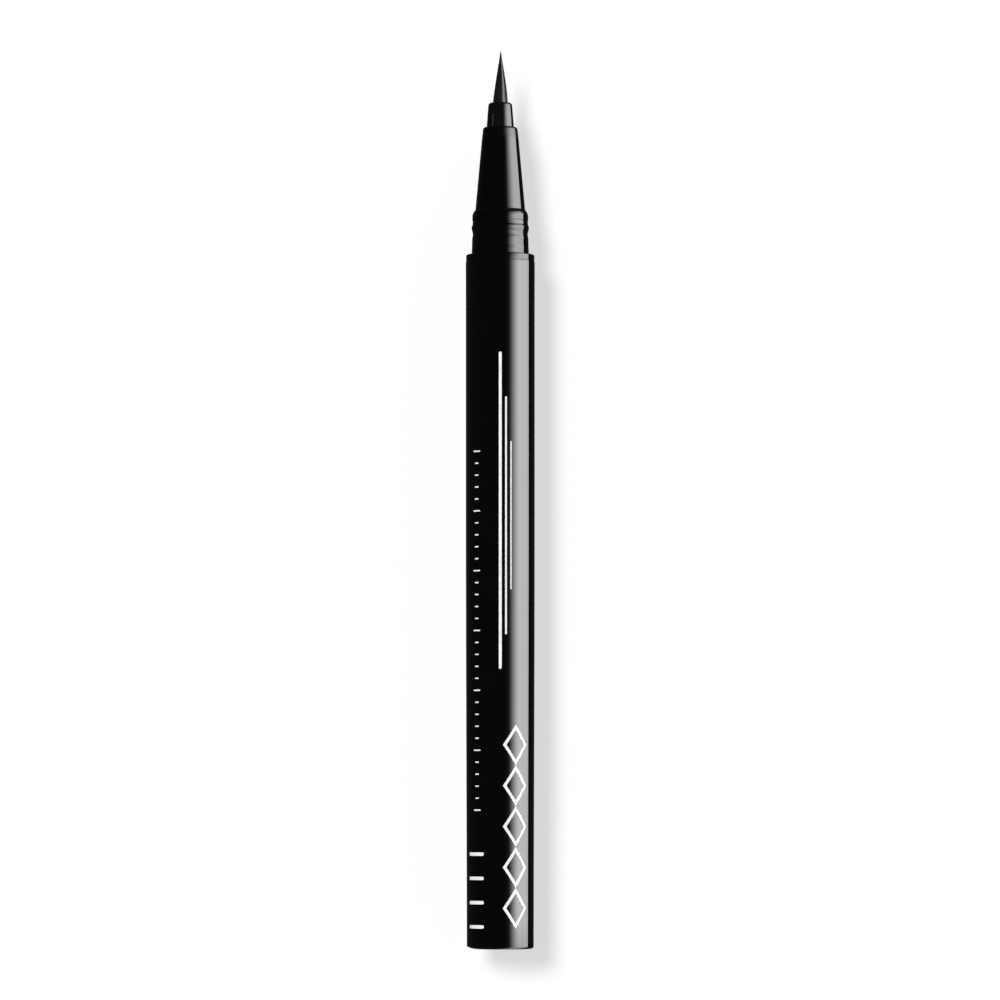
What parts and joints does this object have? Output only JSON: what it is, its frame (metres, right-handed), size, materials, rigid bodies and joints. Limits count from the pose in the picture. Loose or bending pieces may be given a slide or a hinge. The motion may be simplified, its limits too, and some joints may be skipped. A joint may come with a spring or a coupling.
{
  "type": "liquid eyeliner pen",
  "caption": "Slim round liquid eyeliner pen with a barrel that holds the ink, a stepped neck for a push-fit cap and a pointed fibre brush tip, shown uncapped.",
  "frame": {"origin": "centre of the flat rear face of the barrel, on which the pen stands", "axes": "+Z along the pen's length axis to the brush tip, +X to the right and +Y away in the picture's view"},
  "size_m": [0.01, 0.01, 0.1309],
  "materials": {
    "gloss_black": "polished moulded plastic, piano black",
    "satin_black": "satin moulded plastic, black",
    "natural_plastic": "uncoloured polypropylene, milky",
    "grey_elastomer": "soft sealing plastic, grey",
    "collector_plastic": "matt moulded plastic, dark grey",
    "inked_fibre": "bonded fibre soaked with black ink",
    "bristle": "tapered synthetic bristles wet with black ink",
    "steel": "polished stainless steel ball"
  },
  "bodies": {
    "pen": {"barrel": "gloss_black", "end_plug": "satin_black", "ink_tank": "natural_plastic", "tank_stopper": "grey_elastomer", "ink_collector": "collector_plastic", "feed_rod": "inked_fibre", "front_section": "gloss_black", "nib_holder": "satin_black", "brush_retainer": "natural_plastic", "brush_tip": "bristle"},
    "ball": {"mixing_ball": "steel"}
  },
  "joints": [
    {"name": "ball_travel", "type": "slide", "parent": "pen", "child": "ball", "axis": [0, 0, 1], "range_m": [0, 0.051]}
  ]
}
